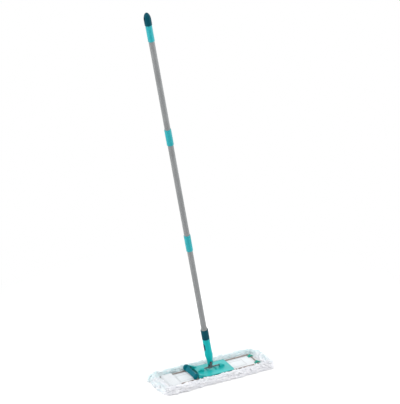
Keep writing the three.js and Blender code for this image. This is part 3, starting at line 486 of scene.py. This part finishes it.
def border_pile(points):
    """The border's pile: jittered rows round the outline, thinned where the corner narrows."""
    stations, rows = points.shape[:2]
    climbs = np.gradient(points, axis=1)
    normals = unit(np.cross(climbs, np.gradient(points, axis=0)))
    climbs = unit(climbs)
    if np.mean(normals[5, rows // 2 :, 2]) < 0:
        normals = -normals
    columns = round(stations * PILE_COLUMNS_A_STATION)
    grid_r, grid_s = (a.ravel() for a in np.meshgrid(np.arange(PILE_LINES), np.arange(columns)))
    at_r = (grid_r + 0.5 + rng.uniform(-0.4, 0.4, grid_r.size)) / PILE_LINES * (rows - 1.6)
    at_s = (grid_s + 0.5 + rng.uniform(-0.4, 0.4, grid_s.size)) / columns * (stations - 1)
    at_s = np.clip(at_s, 0.4, stations - 1.4)
    s_low = np.floor(at_s).astype(int)
    r_low = np.floor(at_r).astype(int)
    width = np.linalg.norm(points[s_low + 1, r_low] - points[s_low, r_low], axis=1)
    keep = rng.random(len(at_s)) < np.clip(width / 0.0034, 0.08, 1)
    at_s, at_r, grid_s, grid_r = (a[keep] for a in (at_s, at_r, grid_s, grid_r))
    roots = sampled(points, at_s, at_r)
    out = unit(sampled(normals, at_s, at_r))
    climb = unit(sampled(climbs, at_s, at_r))
    sideways = np.cross(out, climb)
    count = len(roots)
    level = at_r / (rows - 1)

    # Neighbouring strands hang together in tufts about three strands wide
    shift = rng.integers(0, TUFT, PILE_LINES)[grid_r]
    tuft = (grid_s + shift) // TUFT * 8 + (grid_r + (grid_s // 9) % 3) // TUFT
    _, tuft = np.unique(tuft, return_inverse=True)
    tufts = tuft.max() + 1
    share = 1 / np.bincount(tuft)
    swing = rng.normal(0, 0.5, tufts)[tuft]
    reach = (0.7 + 0.85 * rng.random(tufts) ** 1.6)[tuft]

    # Outer strands hang over the rim, inner ones lean over the cloth
    inner = smoothstep(0.6, 0.84, level)
    lean = unit(
        climb * (1.9 * inner - 0.9)[:, None]
        + sideways * (swing + rng.normal(0, 0.3, count))[:, None]
        + out * (0.3 + 0.25 * inner)[:, None]
        + (0, 0, -0.3) * (1 - inner)[:, None]
        + rng.normal(0, 0.14, (count, 3))
    )
    lengths = rng.uniform(*STRAND_LENGTHS, count) * reach * (1 - 0.25 * inner)
    lengths *= 1 - 0.35 * (level < 0.12)
    middles = roots + (out * 0.6 + lean * 0.12) * lengths[:, None]
    tips = middles + lean * (lengths * 0.62)[:, None]
    gathered = np.stack([np.bincount(tuft, tips[:, k]) * share for k in range(3)], axis=1)
    tips = tips * 0.6 + gathered[tuft] * 0.4
    radii = rng.uniform(*STRAND_RADII, count)
    return roots, strands(roots - out * ROOT_SINK, middles, tips, radii, sides=6, rings=6)


def front_fringe(side):
    """Taller tufts, with gaps between them, along the front inner edge."""
    x = np.arange(0.004, CLOTH_END + 0.004, FRINGE_SPACING)
    x = x + rng.uniform(-0.0016, 0.0016, x.size)
    stand = np.repeat(rng.uniform(0.3, 0.8, x.size), FRINGE_STRANDS)
    x = np.repeat(x, FRINGE_STRANDS)
    spread = rng.normal(0, 1, (x.size, 3)) * (0.0019, 0.0011, 0.0007)
    foot = np.stack([side * x, np.full(x.size, -FRINGE_SIDE), np.full(x.size, FRINGE_FOOT)], axis=1)
    roots = foot + spread
    middles = foot + spread * (1.1, 1.4, 1)
    middles[:, 2] += 0.0062 * stand
    tips = foot + spread * (1.2, 1.6, 1)
    tips[:, 1] += 0.0052 * stand
    tips[:, 2] += 0.0092 * stand
    radii = rng.uniform(*STRAND_RADII, x.size)
    return roots, strands(roots, middles, tips, radii, sides=6, rings=5)


def sole_loops(side):
    """Shorter loops over the sole."""
    xs = np.arange(SOLE_SPACING / 2, HALF_LENGTH - 0.006, SOLE_SPACING)
    ys = np.arange(-HALF_WIDTH + 0.006, HALF_WIDTH - 0.004, SOLE_SPACING)
    x, y = (a.ravel() for a in np.meshgrid(xs, ys))
    x = x + rng.uniform(-0.002, 0.002, x.size)
    y = y + rng.uniform(-0.002, 0.002, y.size)
    past_corner = np.hypot(
        np.maximum(x - (HALF_LENGTH - CORNER), 0), np.maximum(abs(y) - (HALF_WIDTH - CORNER), 0)
    )
    inside = (past_corner < CORNER - 0.006) & (x > 0.0015)
    x, y = x[inside], y[inside]
    roots = np.stack([side * x, y, np.full(x.size, PAD_SOLE + 0.0012)], axis=1)
    fan = unit(rng.normal(size=(x.size, 3)) * (1, 1, 0.05))
    lengths = rng.uniform(*SOLE_LENGTHS, x.size)
    middles = roots - (0, 0, 0.0012) - lengths[:, None] * (0, 0, 0.62)
    tips = middles + fan * (lengths * 0.6)[:, None]
    radii = rng.uniform(*SOLE_RADII, x.size)
    return strands(roots, middles, tips, radii, sides=5, rings=3)


def cyan_shade_at(points):
    """How much painted cyan-tinted shade the yarn gets: full at the back and the two ends, none along
    the front.
    """
    x, y = points[..., 0], points[..., 1]
    back = smoothstep(-0.01, 0.055, y)
    left = smoothstep(-0.198, -0.214, x) * smoothstep(-0.075, -0.02, y)
    right = smoothstep(0.196, 0.212, x) * smoothstep(-0.075, -0.01, y)
    patches = 0.35 + 0.9 * noise_at(points * (1, 1, 0.2), 55, 5)
    return np.clip(np.maximum.reduce([back, 0.45 * left, 0.7 * right]) * patches, 0, 1)


def drawn_in(points):
    """The back right corner of the cover, drawn in by its seam."""
    weight = smoothstep(0.15, 0.225, points[:, 0]) * smoothstep(0.01, 0.0765, points[:, 1])
    return points - weight[:, None] * (0.007, 0.012, 0)


def combed_back(points, side):
    """The left half's pile, pushed outward off the pocket's studs and the foot pedal's travel."""
    if side > 0:
        return points
    low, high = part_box("pedal_bar")
    x, y = points[:, 0], points[:, 1]
    beside = (x > low[0] - 0.004) & (x < high[0] + 0.004)
    limit = max(high[1], -low[1]) + 0.0022
    clear = points.copy()
    clear[:, 1] = np.where(beside, np.sign(y) * np.maximum(abs(y), limit), y)
    stud_low, stud_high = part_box("pocket_stud_back")
    edge = stud_low[0] - 0.0028
    on_pocket = (x > edge) & (x < -0.15) & (abs(y) < stud_high[1] + 0.003)
    clear[:, 0] = np.where(on_pocket, edge, x)
    return clear


def make_mesh(name, verts, faces, material):
    mesh = bpy.data.meshes.new(name)
    mesh.from_pydata(np.asarray(verts).tolist(), [], faces)
    mesh.materials.append(material)
    mesh.shade_smooth()
    made = bpy.data.objects.new(name, mesh)
    bpy.context.scene.collection.objects.link(made)
    return made


def joined(parts):
    """The points and faces of several meshes as one."""
    faces = []
    first = 0
    for points, own in parts:
        faces += [tuple(first + i for i in face) for face in own]
        first += len(points)
    return np.concatenate([points for points, _ in parts]), faces


def cover_pad(side, word):
    points = border_grid(side)
    skin = points.reshape(-1, 3)
    roots, (pile, pile_faces, per) = border_pile(points)
    fringe_roots, (fringe, fringe_faces, fringe_per) = front_fringe(side)
    loops, loop_faces, _ = sole_loops(side)
    verts, faces = joined(
        [
            (skin, skin_faces(*points.shape[:2], side)),
            (combed_back(pile, side), pile_faces),
            (combed_back(fringe, side), fringe_faces),
            (loops, loop_faces),
        ]
    )
    verts = drawn_in(verts)
    verts[:, 2] = np.maximum(verts[:, 2], 0.0001 + 0.0004 * rng.random(len(verts)))
    pad = make_mesh(f"cover_pad_{word}", verts, faces, yarn)

    # Each point's share of the painted cyan-tinted shade
    base = cyan_shade_at(roots)
    strand_cyan_shade = np.clip(base + rng.normal(0, 0.22, len(roots)) * (base > 0.05), 0, 1)
    cyan_shade = [
        cyan_shade_at(skin),
        np.repeat(strand_cyan_shade, per),
        np.repeat(cyan_shade_at(fringe_roots), fringe_per),
        np.zeros(len(loops)),
    ]
    layer = pad.data.attributes.new("cyan_shade", "FLOAT", "POINT")
    layer.data.foreach_set("value", np.concatenate(cyan_shade).astype(np.float32))
    return pad


def bend_at_fold(piece):
    """Bakes the piece's placement into its mesh; the piece stays as it is made."""
    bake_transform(piece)


HALVES = ((1, "right"), (-1, "left"))
for side, word in HALVES:
    pad = cover_pad(side, word)
    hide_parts(f"cover_{word}", f"fold_strip_{word}", "cover_middle")
    bend_at_fold(pad)

# Inner cloth and pocket
CLOTH_TOP = 0.0096
CLOTH_THICKNESS = 0.0005
CLOTH_MARGIN = 0.001
PLATE_END = 0.0735
POCKET_MOUTH = 0.1446
POCKET_HEM = 0.1485
POCKET_MARGIN = 0.0015
POCKET_LOW = 0.0114
POCKET_RISE = 0.0049
POCKET_SLOPE = 0.0055
POCKET_THICKNESS = 0.0011
WIRE_ROOM = 0.0026
HEM_RISE = 0.0004


def shell(name, xs, ys, height, thickness, material, side):
    """A thin closed sheet over a grid, its upper face at height(x, y)."""
    gx, gy = np.meshgrid(xs, ys, indexing="ij")
    top = np.stack([side * gx, gy, height(gx, gy)], axis=-1)
    low = top - (0, 0, thickness)
    nx, ny = gx.shape
    half = nx * ny
    faces = []

    def add(*quad):
        faces.append(quad if side > 0 else quad[::-1])

    for i in range(nx - 1):
        for j in range(ny - 1):
            a, b, c, d = i * ny + j, (i + 1) * ny + j, (i + 1) * ny + j + 1, i * ny + j + 1
            add(a, b, c, d)
            add(half + d, half + c, half + b, half + a)
    for i in range(nx - 1):
        a, b = i * ny, (i + 1) * ny
        add(a, half + a, half + b, b)
        a, b = a + ny - 1, b + ny - 1
        add(b, half + b, half + a, a)
    for j in range(ny - 1):
        add(j + 1, half + j + 1, half + j, j)
        a = (nx - 1) * ny + j
        add(a, half + a, half + a + 1, a + 1)
    verts = np.concatenate([top.reshape(-1, 3), low.reshape(-1, 3)])
    return make_mesh(name, verts, faces, material)


def cloth_height(side):
    """Flat under the plate and the wires, softly creased between them and hemmed at its edge."""

    def height(x, y):
        points = np.stack([side * x, y, np.zeros_like(x)], axis=-1)
        crease = noise_at(points * (0.5, 1, 1), 60, 8) + 0.5 * noise_at(points, 140, 9) - 0.75
        under_plate = 1 - smoothstep(PLATE_END, 0.085, x)
        near_leg = (1 - smoothstep(0.003, 0.008, abs(abs(y) - WIRE_SIDE))) * (x < 0.186)
        near_end = (1 - smoothstep(0.003, 0.008, abs(x - WIRE_END))) * (abs(y) < 0.042)
        free = 1 - np.maximum.reduce([under_plate, near_leg, near_end])
        hem = smoothstep(CLOTH_SIDE - 0.0055, CLOTH_SIDE - 0.0048, abs(y)) * HEM_RISE
        rest = CLOTH_TOP + hem * (1 - near_leg)
        return rest + 0.0008 * np.clip(crease, -0.1, 0.8) * free

    return height


for side, word in HALVES:
    sheet = shell(
        f"inner_cloth_{word}",
        np.linspace(0.0002, CLOTH_END - CLOTH_MARGIN, 74),
        np.linspace(-CLOTH_SIDE + CLOTH_MARGIN, CLOTH_SIDE - CLOTH_MARGIN, 64),
        cloth_height(side),
        CLOTH_THICKNESS,
        cloth,
        side,
    )
    bend_at_fold(sheet)


def pocket_height(x, y):
    """Flat round its edge, rising over the wire, sagging inside it and hemmed at its mouth."""
    far = WIRE_END + WIRE_ROOM
    out = WIRE_SIDE + WIRE_ROOM
    over = np.minimum(
        smoothstep(0, 1, (far + POCKET_SLOPE - x) / POCKET_SLOPE),
        smoothstep(0, 1, (out + POCKET_SLOPE - abs(y)) / POCKET_SLOPE),
    )
    inside = smoothstep(0.006, 0.03, WIRE_SIDE - abs(y)) * smoothstep(0.004, 0.02, WIRE_END - x)
    points = np.stack([-x, y, np.zeros_like(x)], axis=-1)
    crease = noise_at(points * (1, 0.6, 1), 70, 11) - 0.5
    hem = 1 - smoothstep(POCKET_HEM, POCKET_HEM + 0.0005, x)
    sag = 0.0006 * inside
    folds = 0.0005 * crease * (1 - over * 0.5)
    return POCKET_LOW + POCKET_RISE * over - sag + folds + HEM_RISE * hem


pocket = shell(
    "pocket_cloth_sheet",
    np.linspace(POCKET_MOUTH, CLOTH_END - POCKET_MARGIN, 44),
    np.linspace(-CLOTH_SIDE + POCKET_MARGIN, CLOTH_SIDE - POCKET_MARGIN, 72),
    pocket_height,
    POCKET_THICKNESS,
    pocket_weave,
    -1,
)
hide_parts("pocket_flap")
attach(pocket, "left_wing")

# Floor and world
FLOOR_HALF = 12
FLOOR_COLOUR = (0.8, 0.8, 0.8, 1)
FLOOR_LIFT = 0.22
SHADOW_TO = 0.45
WHITE_FROM = 1.1
WORLD_LIGHT = 0.56
WHITE = (1, 1, 1, 1)


def seen_as_backdrop(tree):
    """1 for rays from the camera, mirrors and glass, which see the backdrop as white."""
    path = tree.nodes.new("ShaderNodeLightPath")
    first = tree.nodes.new("ShaderNodeMath")
    second = tree.nodes.new("ShaderNodeMath")
    first.operation = "MAXIMUM"
    second.operation = "MAXIMUM"
    tree.links.new(path.outputs["Is Camera Ray"], first.inputs[0])
    tree.links.new(path.outputs["Is Glossy Ray"], first.inputs[1])
    tree.links.new(first.outputs[0], second.inputs[0])
    tree.links.new(path.outputs["Is Transmission Ray"], second.inputs[1])
    return second.outputs[0]


def floor_white():
    """Near the mop the floor keeps its shadow; further out it fades to plain white."""
    m = Shader("floor_white", Base_Color=FLOOR_COLOUR, Roughness=0.9, Emission_Color=WHITE)
    seen = seen_as_backdrop(m.tree)
    m.put(m.maths("MULTIPLY", seen, FLOOR_LIFT), m.shader.inputs["Emission Strength"])
    distance = m.node("ShaderNodeVectorMath", operation="LENGTH")
    m.put(m.place, distance.inputs[0])
    far = m.spread(distance.outputs["Value"], SHADOW_TO, WHITE_FROM, 0.0, 1.0)
    far.node.interpolation_type = "SMOOTHSTEP"
    faded = m.node("ShaderNodeMixShader")
    m.put(m.maths("MULTIPLY", seen, far), faded.inputs[0])
    m.put(m.shader.outputs[0], faded.inputs[1])
    m.put(m.node("ShaderNodeEmission").outputs[0], faded.inputs[2])
    m.put(faded.outputs[0], m.tree.nodes["Material Output"].inputs["Surface"])
    return m.material


corners = [(x * FLOOR_HALF, y * FLOOR_HALF, 0) for x, y in ((-1, -1), (1, -1), (1, 1), (-1, 1))]
floor = make_mesh("floor", corners, [(0, 1, 2, 3)], floor_white())

world = bpy.data.worlds.new("studio")
bpy.context.scene.world = world
world.use_nodes = True
background = world.node_tree.nodes["Background"]
strength = world.node_tree.nodes.new("ShaderNodeMapRange")
strength.inputs[3].default_value = WORLD_LIGHT
strength.inputs[4].default_value = 1.0
world.node_tree.links.new(seen_as_backdrop(world.node_tree), strength.inputs[0])
world.node_tree.links.new(strength.outputs[0], background.inputs["Strength"])
background.inputs["Color"].default_value = WHITE

# Lights


def lamp(name, place, aim, size, power):
    light = bpy.data.lights.new(name, "AREA")
    light.shape = "RECTANGLE"
    light.size, light.size_y = size
    light.energy = power
    made = bpy.data.objects.new(name, light)
    made.location = place
    made.rotation_euler = (Vector(aim) - Vector(place)).to_track_quat("-Z", "Y").to_euler()
    bpy.context.scene.collection.objects.link(made)


lamp("top", (-0.3, -1.5, 3.0), (0, 0, 0), (2.4, 2.4), 44)
lamp("back_glow", (1.3, 2.4, 1.25), (0, 0, 0.05), (2.4, 1.3), 15)
lamp("left_strip", (-2.7, 0.7, 1.45), (0, 0, 0.75), (0.9, 2.2), 54)
lamp("right_strip", (2.6, -1.3, 1.3), (0, 0, 0.6), (0.8, 2.4), 36)

# Camera, fitted to the photograph
AZIMUTH = radians(-28.206)
ELEVATION = radians(23.559)
DISTANCE = 6.2
AIM = Vector((-0.0471, 0, 0.6852))
PHOTO_HEIGHT = 404
FOCAL_LENGTH_PIXELS = 1791
SENSOR = 36

back = Vector(
    (sin(AZIMUTH) * cos(ELEVATION), -cos(AZIMUTH) * cos(ELEVATION), sin(ELEVATION))
)
camera_data = bpy.data.cameras.new("camera")
camera_data.sensor_width = SENSOR
camera_data.lens = FOCAL_LENGTH_PIXELS * SENSOR / PHOTO_HEIGHT
camera = bpy.data.objects.new("camera", camera_data)
camera.location = AIM + back * DISTANCE
camera.rotation_euler = back.to_track_quat("Z", "Y").to_euler()
bpy.context.scene.collection.objects.link(camera)
bpy.context.scene.camera = camera

bpy.context.scene.view_settings.view_transform = "Standard"
